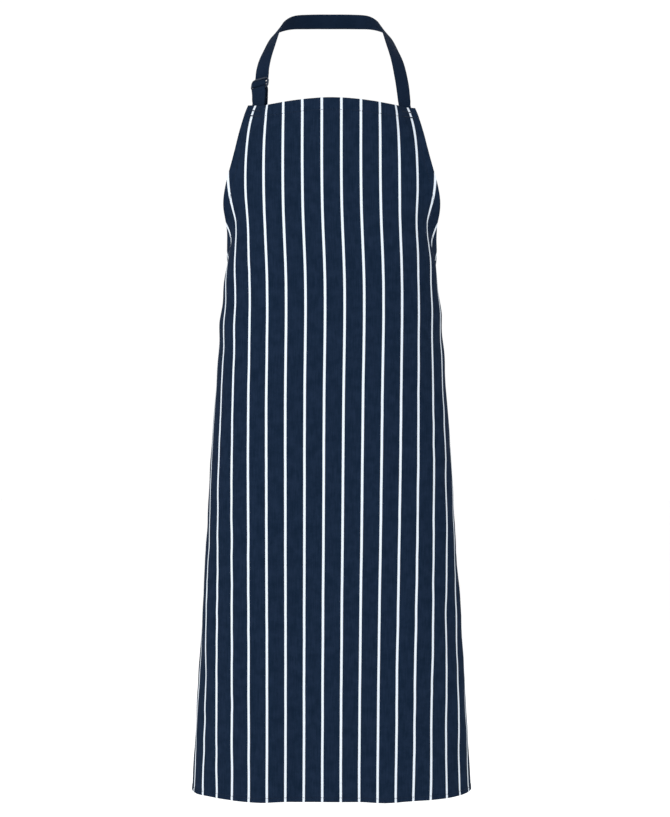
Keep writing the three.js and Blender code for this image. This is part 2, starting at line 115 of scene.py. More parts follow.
def square_to(v, along):
    """The part of v square to a unit direction, as a unit vector."""
    return unit(v - along * (v * along).sum(axis=1, keepdims=True))


def distances_along(points):
    """How far each point of a line is from its first point, along the line."""
    return np.concatenate([[0], np.cumsum(np.linalg.norm(np.diff(points, axis=0), axis=1))])


def through(pairs, down):
    """A smooth curve through given (place, value) pairs in millimetres, with down in metres."""
    places = np.array([p for p, _ in pairs], float)
    values = np.array([v for _, v in pairs], float)
    chords = np.diff(values) / np.diff(places)
    slopes = (np.concatenate([chords[:1], chords]) + np.concatenate([chords, chords[-1:]])) / 2
    place = down / MM
    i = np.clip(np.searchsorted(places, place, side="right") - 1, 0, len(pairs) - 2)
    length = places[i + 1] - places[i]
    t = np.clip((place - places[i]) / length, 0, 1)
    rise = values[i + 1] - values[i]
    leave = slopes[i] * length * t * (1 - t) ** 2
    arrive = slopes[i + 1] * length * t * t * (1 - t)
    return values[i] + rise * smooth(t) + leave - arrive


def cut_half_width(down):
    """The armhole is a quarter ellipse from the bib's corner out to the tie corner."""
    t = np.clip(np.asarray(down, float) / ARMHOLE_DEPTH, 0, 1)
    return BIB_HALF_WIDTH + ARMHOLE_GROWTH * (1 - np.sqrt(1 - t * t))


def turn(across, down):
    """How far each level section has turned away from facing forward, in radians."""
    reach = through(SIDE_REACH, down) * MM
    front = math.pi / 2 * np.minimum(1, across / reach) ** through(SECTION_POWER, down)
    back = BACK_TURN * np.maximum(0, across - reach)
    flare = through(EDGE_FLARE, down)
    near_edge = smooth((across - cut_half_width(down) + FLARE_WIDTH) / FLARE_WIDTH)
    return (front + back) * (1 - flare * near_edge)


# ---- camera, light and floor
CAMERA_DISTANCE = 2.2  # from the bib's front
CAMERA_HEIGHT = -0.6215
CAMERA_SIDE = 6.1 * MM
VIEW_HEIGHT = 1.209  # what the frame takes in at that distance
FLOOR_Z = -1.62
FLOOR_REACH = 14
FLOOR_FINISH = {
    "Base Color": (0.93, 0.93, 0.93, 1), "Roughness": 0.8,
    "Emission Color": (1, 1, 1, 1), "Emission Strength": 0.22,
}
# The room is dimmer on the camera's side (-Y) than behind the apron, so that rounded forms show.
GLOW = {"From Min": -0.5, "From Max": 0.75, "To Min": 0.7, "To Max": 1.02}
LIT_PLACE = (0, 0, -0.65)
LIGHTS = [  # name, place, size and watts
    ("key", (-1.7, -2.6, 0.8), 1.3, 46),
    ("fill", (1.7, -2.7, 0.0), 1.8, 10),
    ("rim", (0.6, 2.6, 1.0), 1.5, 18),
]


def add_object(name, data):
    thing = bpy.data.objects.new(name, data)
    bpy.context.scene.collection.objects.link(thing)
    return thing


def set_inputs(node, values):
    """Give a node's input sockets their constant values."""
    for socket, value in values.items():
        node.inputs[socket].default_value = value


def make_camera():
    data = bpy.data.cameras.new("camera")
    camera = add_object("camera", data)
    camera.location = (CAMERA_SIDE, BIB_FRONT_Y - CAMERA_DISTANCE, CAMERA_HEIGHT)
    camera.rotation_euler = (math.pi / 2, 0, 0)
    data.sensor_fit = "VERTICAL"
    data.angle = 2 * math.atan(VIEW_HEIGHT / 2 / CAMERA_DISTANCE)
    bpy.context.scene.camera = camera


def area_light(name, place, size, power):
    data = bpy.data.lights.new(name, "AREA")
    data.shape = "SQUARE"
    data.size = size
    data.energy = power
    light = add_object(name, data)
    light.location = place
    light.rotation_euler = (Vector(LIT_PLACE) - Vector(place)).to_track_quat("-Z", "Y").to_euler()


def make_studio():
    """A white room that glows, with three soft lights."""
    scene = bpy.context.scene
    scene.view_settings.view_transform = "Standard"
    world = bpy.data.worlds.new("studio")
    scene.world = world
    world.use_nodes = True
    tree = world.node_tree
    background = tree.nodes["Background"]
    background.inputs["Color"].default_value = (1, 1, 1, 1)
    direction = tree.nodes.new("ShaderNodeSeparateXYZ")
    tree.links.new(tree.nodes.new("ShaderNodeTexCoord").outputs["Generated"], direction.inputs[0])
    level = tree.nodes.new("ShaderNodeMapRange")
    level.interpolation_type = "SMOOTHSTEP"
    tree.links.new(direction.outputs["Y"], level.inputs["Value"])
    set_inputs(level, GLOW)
    tree.links.new(level.outputs["Result"], background.inputs["Strength"])
    for light in LIGHTS:
        area_light(*light)


def make_floor():
    mesh = bpy.data.meshes.new("floor")
    far = FLOOR_REACH
    corners = [(-far, -far, 0), (far, -far, 0), (far, far, 0), (-far, far, 0)]
    mesh.from_pydata(corners, [], [(0, 1, 2, 3)])
    floor = add_object("floor", mesh)
    floor.location.z = FLOOR_Z
    material = bpy.data.materials.new("floor_white")
    material.use_nodes = True
    set_inputs(material.node_tree.nodes["Principled BSDF"], FLOOR_FINISH)
    mesh.materials.append(material)


# ---- materials
class Nodes:
    """A short way to write a material's node tree."""

    def __init__(self, name, roughness, specular=0.04):
        self.material = bpy.data.materials.new(name)
        self.material.use_nodes = True
        self.tree = self.material.node_tree
        self.shader = self.tree.nodes["Principled BSDF"]
        set_inputs(self.shader, {"Roughness": roughness, "Specular IOR Level": specular})

    def add(self, kind, sockets=None, **settings):
        """A node with its settings, and with a value or a link in each named input socket."""
        node = self.tree.nodes.new(kind)
        for key, value in settings.items():
            setattr(node, key, value)
        for key, value in (sockets or {}).items():
            if hasattr(value, "is_output"):
                self.tree.links.new(value, node.inputs[key])
            else:
                node.inputs[key].default_value = value
        return node

    def math(self, operation, a, b=0.0, clamp=False):
        return self.add("ShaderNodeMath", {0: a, 1: b}, operation=operation, use_clamp=clamp).outputs[0]

    def weighted(self, *pairs):
        """The sum of some values, each times its weight."""
        parts = [self.math("MULTIPLY", value, weight) for value, weight in pairs]
        total = parts[0]
        for part in parts[1:]:
            total = self.math("ADD", total, part)
        return total

    def rest(self, value):
        """What is left of 1."""
        return self.math("SUBTRACT", 1.0, value)

    def mix(self, share, a, b):
        sockets = {"Factor": share, "A": a, "B": b}
        return self.add("ShaderNodeMix", sockets, data_type="RGBA").outputs["Result"]

    def ramp(self, value, low, high):
        """0 below `low`, 1 above `high`."""
        sockets = {"Value": value, "From Min": low, "From Max": high}
        node = self.add("ShaderNodeMapRange", sockets, clamp=True, interpolation_type="SMOOTHSTEP")
        return node.outputs["Result"]

    def cloth_place(self):
        """Distances over the flat cloth, in metres, from the UV map."""
        place = self.add("ShaderNodeUVMap", uv_map="cut").outputs["UV"]
        parts = self.add("ShaderNodeSeparateXYZ", {0: place})
        return parts.outputs["X"], parts.outputs["Y"], place

    def stretched(self, u, v, across, down):
        """A place over the cloth with its two distances scaled apart, for streaks along a thread."""
        sockets = {"X": self.math("MULTIPLY", u, across), "Y": self.math("MULTIPLY", v, down)}
        return self.add("ShaderNodeCombineXYZ", sockets).outputs[0]

    def noise(self, vector, scale, detail=3.0, roughness=0.5):
        sockets = {"Vector": vector, "Scale": scale, "Detail": detail, "Roughness": roughness}
        return self.add("ShaderNodeTexNoise", sockets).outputs["Fac"]

    def bump(self, height, distance, strength=1.0, under=None):
        sockets = {"Strength": strength, "Distance": distance, "Height": height}
        if under is not None:
            sockets["Normal"] = under
        return self.add("ShaderNodeBump", sockets).outputs["Normal"]

    def finish(self, **surface):
        """Link colour, roughness or normal into the shader."""
        sockets = {"colour": "Base Color", "roughness": "Roughness", "normal": "Normal"}
        for key, value in surface.items():
            self.tree.links.new(value, self.shader.inputs[sockets[key]])
        return self.material


NAVY = (0.0050, 0.0138, 0.0320, 1)
NAVY_LIGHT = (0.0118, 0.0240, 0.0520, 1)
# Dark navy: painted shade in the twill valleys of cloth and tape, and the dark end of the thread's fibre
# tone.
NAVY_SHADE_AND_DARK_TONE = (0.0020, 0.0066, 0.0180, 1)
WHITE = (0.73, 0.80, 0.87, 1)
WHITE_VALLEY_SHADE = (0.46, 0.53, 0.65, 1)  # painted shade between the twill lines
WHITE_WORN = (0.63, 0.69, 0.79, 1)
SCUFFED = (0.030, 0.044, 0.085, 1)
STRIPE_BLUR = 0.25 * MM
TWILL_PITCH = 1.1 * MM  # distance between two twill lines
TAPE_TWILL_PITCH = 1.5 * MM


def twill(n, u, v, pitch):
    """The raised diagonal threads of a twill: 0 in the valleys, 1 on the ridges."""
    lean = n.math("ADD", u, n.math("MULTIPLY", v, 0.55))
    wave = n.math("SINE", n.math("MULTIPLY", lean, 2 * math.pi / pitch))
    steps = n.math("SINE", n.math("MULTIPLY", v, 2 * math.pi / (pitch * 0.6)))
    return n.math("ADD", n.weighted((wave, 0.38), (steps, 0.12)), 0.5, clamp=True)


def striped_cotton():
    """Navy twill with white stripes woven along it, every STRIPE_PITCH, half a pitch off the middle."""
    n = Nodes("striped_cotton", roughness=0.92)
    u, v, place = n.cloth_place()
    wander = n.math("SUBTRACT", n.noise(place, 900), 0.5)
    edge = n.math("ADD", u, n.math("MULTIPLY", wander, 0.35 * MM))
    in_pitch = n.add("ShaderNodeMath", {0: edge, 1: STRIPE_PITCH, 2: 0.0}, operation="WRAP").outputs[0]
    off_middle = n.math("ABSOLUTE", n.math("SUBTRACT", in_pitch, STRIPE_PITCH / 2))
    half = STRIPE_WIDTH / 2
    stripe = n.rest(n.ramp(off_middle, half - STRIPE_BLUR, half + STRIPE_BLUR))
    ridge = twill(n, u, v, TWILL_PITCH)
    cloudy = n.noise(place, 60, detail=5, roughness=0.65)
    slub = n.noise(place, 2200, detail=2)
    streaks = n.noise(n.stretched(u, v, 1, 0.05), 700, detail=3)
    tone = n.weighted((cloudy, 0.45), (slub, 0.2), (streaks, 0.35))
    navy = n.mix(n.ramp(tone, 0.38, 0.62), NAVY, NAVY_LIGHT)
    # Painted shade: the twill's valleys are darkened in colour, on top of their bump.
    navy = n.mix(n.math("MULTIPLY", n.rest(ridge), 0.5), navy, NAVY_SHADE_AND_DARK_TONE)
    white = n.mix(n.math("MULTIPLY", n.rest(ridge), 0.28), WHITE, WHITE_VALLEY_SHADE)
    white = n.mix(n.math("MULTIPLY", slub, 0.2), white, WHITE_WORN)
    normal = n.bump(ridge, 0.12 * MM, 0.6)
    normal = n.bump(n.noise(place, 260, detail=4), 0.5 * MM, 0.25, under=normal)
    return n.finish(colour=n.mix(stripe, navy, white), normal=normal)


def woven_tape():
    """Navy herringbone tape: twill that turns back at the middle, with firm edges."""
    n = Nodes("woven_tape", roughness=0.9)
    u, v, place = n.cloth_place()
    folded = n.math("PINGPONG", u, TAPE_WIDTH / 4)
    ridge = twill(n, n.math("MULTIPLY", folded, 1.6), v, TAPE_TWILL_PITCH)
    slub = n.noise(place, 1500, detail=2)
    cloudy = n.noise(place, 30, detail=3)
    tone = n.weighted((cloudy, 0.4), (slub, 0.6))
    navy = n.mix(n.ramp(tone, 0.3, 0.7), NAVY, NAVY_LIGHT)
    # Painted shade: the tape's twill valleys are darkened in colour, on top of their bump.
    colour = n.mix(n.math("MULTIPLY", n.rest(ridge), 0.7), navy, NAVY_SHADE_AND_DARK_TONE)
    return n.finish(colour=colour, normal=n.bump(ridge, 0.25 * MM, 0.8))


def sewing_thread():
    """Navy two-ply sewing thread."""
    n = Nodes("sewing_thread", roughness=0.6, specular=0.15)
    fibre = n.noise(n.add("ShaderNodeTexCoord").outputs["Object"], 3000, detail=2)
    return n.finish(colour=n.mix(fibre, NAVY_SHADE_AND_DARK_TONE, NAVY_LIGHT), normal=n.bump(fibre, 0.1 * MM, 0.5))


def moulded_plastic():
    """Satin navy plastic with a fine moulded grain and faint scuffs from the tape."""
    n = Nodes("moulded_plastic", roughness=0.34, specular=0.45)
    place = n.add("ShaderNodeTexCoord").outputs["Object"]
    grain = n.noise(place, 2600, detail=3)
    patches = n.noise(place, 160, detail=3)
    scuffs = n.ramp(n.noise(place, 900, detail=5, roughness=0.7), 0.56, 0.72)
    colour = n.mix(patches, NAVY, NAVY_LIGHT)
    colour = n.mix(n.math("MULTIPLY", scuffs, 0.35), colour, SCUFFED)
    rough = n.add("ShaderNodeMapRange", {"Value": patches, "To Min": 0.26, "To Max": 0.46})
    return n.finish(colour=colour, roughness=rough.outputs["Result"], normal=n.bump(grain, 0.05 * MM, 0.35))


MATERIALS = {
    "striped_cotton": striped_cotton(),
    "woven_tape": woven_tape(),
    "thread": sewing_thread(),
    "slider_plastic": moulded_plastic(),
}


# ---- mesh helpers
def new_piece(name, vertices, faces, uvs=None):
    """A smooth-shaded mesh object; uvs is one (u, v) per vertex, in metres over the flat cloth."""
    mesh = bpy.data.meshes.new(name)
    mesh.from_pydata([tuple(p) for p in vertices], [], faces)
    if uvs is not None:
        layer = mesh.uv_layers.new(name="cut")
        corner = np.empty(len(mesh.loops), int)
        mesh.loops.foreach_get("vertex_index", corner)
        layer.data.foreach_set("uv", np.asarray(uvs, float)[corner].ravel())
    mesh.shade_smooth()
    mesh.update()
    return add_object(name, mesh)


def stand_for(piece, node, slot, body="root"):
    """Finish a piece and put it in a CAD node's place, on a body if one is given."""
    piece.data.materials.append(MATERIALS[slot])
    if body:
        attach(piece, body)
    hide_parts(node)
    return piece


def grid_quads(rows, columns):
    """Corners of the quads of a rows x columns grid of vertices."""
    i, j = np.meshgrid(np.arange(rows - 1), np.arange(columns - 1), indexing="ij")
    a = (i * columns + j).ravel()
    return np.stack([a, a + columns, a + columns + 1, a + 1], axis=1)


def tube_faces(rings, sides):
    """Faces of a closed tube of `rings` rings of vertices: its quads, then its two ends."""
    i, k = np.meshgrid(np.arange(rings - 1), np.arange(sides), indexing="ij")
    near, far = (i * sides + k).ravel(), (i * sides + (k + 1) % sides).ravel()
    faces = np.stack([near, far, far + sides, near + sides], axis=1).tolist()
    faces.append(list(range(sides))[::-1])
    faces.append([(rings - 1) * sides + k for k in range(sides)])
    return faces


def shell(name, grid, normal, uv, thickness, round_steps=3):
    """A closed sheet of cloth: two faces `thickness` apart, joined by a rounded rim."""
    rows, columns = grid.shape[:2]
    half = thickness / 2
    vertices = [(grid + normal * half).reshape(-1, 3), (grid - normal * half).reshape(-1, 3)]
    uv = uv.reshape(-1, 2)
    uvs = [uv, uv]
    count = rows * columns
    quads = grid_quads(rows, columns)
    # The border goes down the first column, along the last row, up the last column and back.
    border = np.concatenate([
        np.arange(rows) * columns,
        (rows - 1) * columns + np.arange(1, columns),
        np.arange(rows - 2, -1, -1) * columns + columns - 1,
        np.arange(columns - 2, 0, -1),
    ])
    flat, flat_normal = grid.reshape(-1, 3)[border], normal.reshape(-1, 3)[border]
    ahead = np.roll(flat, -1, axis=0) - np.roll(flat, 1, axis=0)
    out = unit(np.cross(ahead, flat_normal))
    rings = [border]
    start = count * 2
    for k in range(1, round_steps + 1):
        angle = math.pi * k / (round_steps + 1)
        rim = flat + flat_normal * (half * math.cos(angle)) + out * (half * math.sin(angle))
        vertices.append(rim)
        uvs.append(uv[border])
        rings.append(start + np.arange(len(border)))
        start += len(border)
    rings.append(border + count)
    faces = [quads, quads[:, ::-1] + count]
    for near, far in zip(rings, rings[1:]):
        faces.append(np.stack([near, far, np.roll(far, -1), np.roll(near, -1)], axis=1))
    return new_piece(name, np.vstack(vertices), np.vstack(faces).tolist(), np.vstack(uvs))


# ---- curves
def catmull_rom(points, count, centripetal=True):
    """`count` places on a smooth curve through the points, evenly shared between the spans."""
    points = np.asarray(points, float)
    padded = np.vstack([2 * points[0] - points[1], points, 2 * points[-1] - points[-2]])
    place = np.linspace(0, len(points) - 1, count)
    span = np.minimum(place.astype(int), len(points) - 2)
    t = (place - span)[:, None]
    p0, p1, p2, p3 = (padded[span + k] for k in range(4))
    if centripetal:
        d0, d1, d2 = (np.sqrt(np.linalg.norm(b - a, axis=1, keepdims=True)).clip(1e-9)
                      for a, b in ((p0, p1), (p1, p2), (p2, p3)))
        m1 = ((p1 - p0) / d0 - (p2 - p0) / (d0 + d1) + (p2 - p1) / d1) * d1
        m2 = ((p2 - p1) / d1 - (p3 - p1) / (d1 + d2) + (p3 - p2) / d2) * d1
    else:
        m1 = (p2 - p0) / 2
        m2 = (p3 - p1) / 2
    bend = -3 * p1 + 3 * p2 - 2 * m1 - m2
    twist = 2 * p1 - 2 * p2 + m1 + m2
    return p1 + m1 * t + bend * t ** 2 + twist * t ** 3


def bilinear(table, row, column):
    """Values of a rows x columns x ... table at fractional rows and columns."""
    row = np.clip(row, 0, table.shape[0] - 1.000001)
    column = np.clip(column, 0, table.shape[1] - 1.000001)
    i, j = row.astype(int), column.astype(int)
    a, b = (row - i)[..., None], (column - j)[..., None]
    top = table[i, j] * (1 - b) + table[i, j + 1] * b
    low = table[i + 1, j] * (1 - b) + table[i + 1, j + 1] * b
    return top * (1 - a) + low * a


# ---- the hanging cloth
TABLE_ACROSS = np.linspace(-0.370, 0.370, 371)
TABLE_DOWN = np.linspace(0, CUT_LENGTH, 535)
EASE_START = 0.330
EASE_LENGTH = 0.600
STRAP_CENTRE = 0.126  # the strap's middle, out from the bib's middle over the cloth
TIE_DOWN = ARMHOLE_DEPTH + 16 * MM  # the waist ties' middle


def drape_table():
    """Places of the bare drape over a regular table of across and down."""
    fine = 6                                    # integration steps between two columns
    half = len(TABLE_ACROSS) // 2
    step = (TABLE_ACROSS[1] - TABLE_ACROSS[0]) / fine
    walk = np.broadcast_to((np.arange(half * fine) + 0.5) * step, (len(TABLE_DOWN), half * fine))
    down = np.broadcast_to(TABLE_DOWN[:, None], walk.shape)
    angle = turn(walk, down)
    start = np.zeros((len(TABLE_DOWN), 1))
    drawn_in = 1 - SKIRT_EASE * smooth((TABLE_DOWN[:, None] - EASE_START) / EASE_LENGTH)
    x = np.hstack([start, np.cumsum(np.cos(angle), axis=1)[:, fine - 1::fine] * step]) * drawn_in
    y = np.hstack([start, np.cumsum(np.sin(angle), axis=1)[:, fine - 1::fine] * step]) * drawn_in
    lean = SKIRT_LEAN * smooth((TABLE_DOWN - ARMHOLE_DEPTH) / (CUT_LENGTH * 1.2 - ARMHOLE_DEPTH))
    slip = through(SLIP, TABLE_DOWN) * MM
    table = np.empty((len(TABLE_DOWN), len(TABLE_ACROSS), 3))
    for i in range(len(TABLE_DOWN)):
        place = TABLE_ACROSS + slip[i]
        table[i, :, 0] = np.sign(place) * np.interp(np.abs(place), TABLE_ACROSS[half:], x[i])
        table[i, :, 1] = np.interp(np.abs(place), TABLE_ACROSS[half:], y[i]) + BIB_FRONT_Y + lean[i]
    crown = smooth(np.abs(TABLE_ACROSS) / CROWN_REACH) * (1 - smooth(TABLE_DOWN[:, None] / CROWN_DEPTH))
    crown = crown * (1 - CORNER_LIFT * smooth((-TABLE_ACROSS - STRAP_CENTRE) / CORNER_REACH + 0.5))
    table[:, :, 2] = BIB_TOP_Z - TABLE_DOWN[:, None] - TOP_CROWN * crown
    return table


def table_normals(table):
    """Outward unit normals, away from the wearer."""
    return unit(np.cross(np.gradient(table, axis=0), np.gradient(table, axis=1)))


def look_up(table, across, down):
    """Values of a table over the flat cut at some places of it."""
    row = down / (TABLE_DOWN[1] - TABLE_DOWN[0])
    column = (across - TABLE_ACROSS[0]) / (TABLE_ACROSS[1] - TABLE_ACROSS[0])
    return bilinear(table, row, column)


class Cloth:
    """The cloth's middle surface, as a table of places over the flat cut."""

    def __init__(self, table):
        self.table = table
        self.normals = table_normals(table)

    def normal(self, across, down):
        return unit(look_up(self.normals, across, down))

    def at(self, across, down, offset=0.0):
        """Places at an offset outward from the middle surface."""
        across, down = np.broadcast_arrays(np.asarray(across, float), np.asarray(down, float))
        offset = np.broadcast_to(offset, across.shape)[..., None]
        return look_up(self.table, across, down) + self.normal(across, down) * offset


FLUTE_DEPTH = 1.7 * MM
FLUTES = [  # length, phase, share and sway of each wave across the skirt
    (21.8 * MM, 0.9, 0.45, 1.0),
    (33.1 * MM, -0.4, 0.55, -0.7),
    (13.7 * MM, 2.1, 0.16, 1.6),
]
PULL_DEPTH = 1.3 * MM
CORNER_FOLD_DEPTH = 1.1 * MM
SLACK_DEPTH = 0.5 * MM


def soft_folds(across, down):
    """Outward offset of the slack cloth: flutes in the skirt and soft pulls from the ties and strap."""
    sway = 0.012 * np.sin(down * 7.5 + 1.3)
    flutes = sum(np.sin((across + sway * lean) / length + phase) * share
                 for length, phase, share, lean in FLUTES)
    offset = flutes * smooth((down - EASE_START) / EASE_LENGTH) * FLUTE_DEPTH
    for _, side in SIDES:
        # Pulls run from the tie's corner across the front, and fan out downward.
        along = CUT_HALF_WIDTH - side * across
        fan = np.arctan2(down - TIE_DOWN, along + 0.03)
        reach = bell(along - 0.10, 0.11) * bell(fan, 0.55)
        offset = offset + np.sin(fan * 17 + side * 0.8) * reach * PULL_DEPTH
        # The strap lifts the bib's corner, so a shallow fold hangs below it.
        corner = side * across - 0.105
        fold = np.sin(corner / 0.0125 + 0.6) * bell(corner, 0.045)
        offset = offset + fold * bell(down - 0.075, 0.075) * CORNER_FOLD_DEPTH
    slack = np.sin(down / 0.043 + 2.2 * np.sin(across / 0.09)) * bell(down - 0.24, 0.16)
    return offset + slack * bell(across, 0.16) * SLACK_DEPTH


SETTLE_ROWS = 96
SETTLE_COLUMNS = 64
SETTLE_FRAMES = 28
SETTLE_CAP = 6 * MM  # no place moves further than this
CLOTH_MASS = 0.24 * 0.66  # kilograms per square metre, times the cut's area
CLOTH_SETTINGS = {
    "quality": 6, "tension_stiffness": 12, "compression_stiffness": 12, "shear_stiffness": 4,
    "bending_stiffness": 0.4, "vertex_group_mass": "held", "pin_stiffness": 1.0,
}


def settle_grid():
    """Flat places of the mesh that is simulated: rows down the cut, columns across it."""
    down = np.linspace(0, CUT_LENGTH, SETTLE_ROWS)[:, None]
    share = np.linspace(-1, 1, SETTLE_COLUMNS)[None, :]
    return share * cut_half_width(down), np.broadcast_to(down, (SETTLE_ROWS, SETTLE_COLUMNS))


def held_weights(across, down):
    """How firmly each place is held: sewn to the strap and ties, and lightly over the wearer's front."""
    beside_strap = np.abs(np.abs(across) - STRAP_CENTRE) / TAPE_WIDTH
    strap = (beside_strap < 0.7) & (down < TOP_HEM)
    tie = (np.abs(across) > CUT_HALF_WIDTH - 26 * MM) & (np.abs(down - TIE_DOWN) < 14 * MM)
    body = 0.20 * (1 - smooth((down - 0.30) / 0.5)) + 0.05
    return np.where(strap | tie, 1.0, body)


def settle(cloth):
    """Hang the cloth by its strap and ties under its own weight, and return how far each place moves."""
    across, down = settle_grid()
    start = cloth.at(across, down).reshape(-1, 3)
    mesh = bpy.data.meshes.new("settling_cloth")
    mesh.from_pydata(start.tolist(), [], grid_quads(SETTLE_ROWS, SETTLE_COLUMNS).tolist())
    worker = add_object("settling_cloth", mesh)
    scene = bpy.context.scene
    held = worker.vertex_groups.new(name="held")
    for index, weight in enumerate(held_weights(across, down).ravel()):
        held.add([index], float(weight), "REPLACE")
    modifier = worker.modifiers.new("hang", "CLOTH")
    modifier.settings.mass = CLOTH_MASS / len(start)
    for key, value in CLOTH_SETTINGS.items():
        setattr(modifier.settings, key, value)
    modifier.collision_settings.use_collision = False
    modifier.point_cache.frame_start = 1
    modifier.point_cache.frame_end = SETTLE_FRAMES
    for number in range(1, SETTLE_FRAMES + 1):
        scene.frame_set(number)
    hung = worker.evaluated_get(bpy.context.evaluated_depsgraph_get())
    end = np.empty(len(start) * 3)
    hung.data.vertices.foreach_get("co", end)
    scene.frame_set(1)
    bpy.data.objects.remove(worker)
    bpy.data.meshes.remove(mesh)
    move = end.reshape(-1, 3) - start
    length = np.linalg.norm(move, axis=1, keepdims=True).clip(1e-9)
    move = move * (SETTLE_CAP * np.tanh(length / SETTLE_CAP) / length)
    return soften(move.reshape(SETTLE_ROWS, SETTLE_COLUMNS, 3))


def soften(field, times=2):
    """Average a grid of values with their neighbours."""
    for _ in range(times):
        padded = np.pad(field, ((1, 1), (1, 1), (0, 0)), mode="edge")
        around = padded[:-2, 1:-1] + padded[2:, 1:-1] + padded[1:-1, :-2] + padded[1:-1, 2:]
        field = field * 0.5 + around * 0.125
    return field


def hang_cloth():
    """The drape with its soft folds, settled under its own weight."""
    table = drape_table()
    across, down = np.meshgrid(TABLE_ACROSS, TABLE_DOWN)
    offset = soft_folds(across, down)
    folded = Cloth(table + table_normals(table) * offset[..., None])
    move = settle(folded)
    row = down / CUT_LENGTH * (SETTLE_ROWS - 1)
    column = (np.clip(across / cut_half_width(down), -1, 1) + 1) / 2 * (SETTLE_COLUMNS - 1)
    return Cloth(folded.table + bilinear(move, row, column))


cloth = hang_cloth()


# ---- the cut edge and its hems
def armhole_edge(phi):
    """Across and down of the armhole's edge, phi from 0 at the bib's corner to a quarter turn."""
    return BIB_HALF_WIDTH + ARMHOLE_GROWTH * (1 - np.cos(phi)), ARMHOLE_DEPTH * np.sin(phi)


def beside_armhole(phi, inset):
    """A place `inset` in from the armhole's edge, square to it."""
    across, down = armhole_edge(phi)
    inward = unit(np.stack([-ARMHOLE_DEPTH * np.cos(phi), ARMHOLE_GROWTH * np.sin(phi)], axis=-1))
    return across + inward[..., 0] * inset, down + inward[..., 1] * inset


def even_steps(place, start, end, spacing):
    """Parameters between start and end that step evenly along a curve of flat places."""
    fine = np.linspace(start, end, 2000)
    length = distances_along(np.stack(place(fine), axis=1))
    count = max(2, int(round(length[-1] / spacing)) + 1)
    return np.interp(np.linspace(0, length[-1], count), length, fine)


def armhole_distance(across, down):
    """How far flat places are from either armhole's edge."""
    edge_x, edge_y = armhole_edge(np.linspace(0, math.pi / 2, 240))
    nearest = np.full(across.shape, 1.0)
    for x, y in zip(edge_x, edge_y):
        nearest = np.minimum(nearest, np.hypot(np.abs(across) - x, down - y))
    return nearest


HEM_RISE = 0.45 * MM
SEAM_GROOVE = 0.42 * MM
SEAM_PUCKER = 0.16 * MM


def hem_relief(to_edge, hem, along):
    """Outward offset of the face over a hem: raised over the folds, pulled in along its stitches."""
    line = hem - STITCH_INSET
    raised = HEM_RISE * smooth((hem + 1.2 * MM - to_edge) / (2.4 * MM))
    groove = SEAM_GROOVE * bell(to_edge - line, 1.1 * MM)
    pucker = np.sin(along / (1.35 * MM) + 1.7 * np.sin(along / (6.1 * MM)))
    waves = SEAM_PUCKER * pucker * bell(to_edge - line, 4.5 * MM)
    return raised - groove + waves


def relief(across, down):
    """Fine outward offset of the sewn cloth."""
    near_arm = armhole_distance(across, down)
    to_side = np.where(down > ARMHOLE_DEPTH, CUT_HALF_WIDTH - np.abs(across), 1.0)
    side_away = np.minimum(near_arm, to_side)
    top = hem_relief(down, TOP_HEM, across)
    bottom = hem_relief(CUT_LENGTH - down, BOTTOM_HEM, across)
    return top + bottom + hem_relief(side_away, SIDE_HEM, down + np.abs(across))


def panel_rows():
    """Row positions down the cloth, close together over the hems."""
    phi = np.linspace(0, math.pi / 2, 120)
    rows = [ARMHOLE_DEPTH * np.sin(phi), np.arange(0, 24, 1.0) * MM]
    rows.append(np.linspace(ARMHOLE_DEPTH, CUT_LENGTH - 14 * MM, 215))
    rows.append(CUT_LENGTH - np.arange(0, 14, 1.0) * MM)
    rows.append(ARMHOLE_DEPTH + np.arange(1, 15, 1.5) * MM)
    rows = np.unique(np.round(np.concatenate(rows), 6))
    keep = np.concatenate([[True], np.diff(rows) > 0.05 * MM])
    return rows[keep]


def panel_grid():
    """Flat places of the panel's vertices: rows x columns of across and down."""
    rows = panel_rows()
    edge = np.array([0, 0.7, 1.5, 2.5, 3.5, 5, 6.5, 8, 9.2, 10, 10.8, 11.6, 12.6, 14, 16]) * MM
    width = cut_half_width(rows)[:, None]
    inner = np.linspace(-1, 1, 190)[None, :] * (width - edge[-1])
    left = width - edge[None, ::-1][:, 1:]
    across = np.hstack([-left[:, ::-1], inner, left])
    return across, np.broadcast_to(rows[:, None], across.shape).copy()


def make_panel():
    """The apron's whole cloth, with its rim."""
    across, down = panel_grid()
    places = cloth.at(across, down, relief(across, down))
    uv = np.stack([across, down], axis=-1)
    panel = shell("apron_cloth", places, cloth.normal(across, down), uv, CLOTH)
    return stand_for(panel, "apron_panel", "striped_cotton")


HEM_THICK = 1.0 * MM  # two turned layers
HEM_EDGE = 0.25 * MM  # how far a level hem stays inside the cut's edge
HEM_END = 0.4 * MM  # and how far each hem stops before another or the side
HEM_LOW = -(CLOTH / 2 + 0.06 * MM + HEM_THICK / 2)


def hem_strip(node, across, down):
    """A turned hem behind the face, from flat places: rows along it, columns across it."""
    places = cloth.at(across, down, relief(across, down) + HEM_LOW)
    uv = np.stack([-across, down], axis=-1)
    strip = shell(node + "_fold", places, cloth.normal(across, down), uv, HEM_THICK, 4)
    return stand_for(strip, node, "striped_cotton")


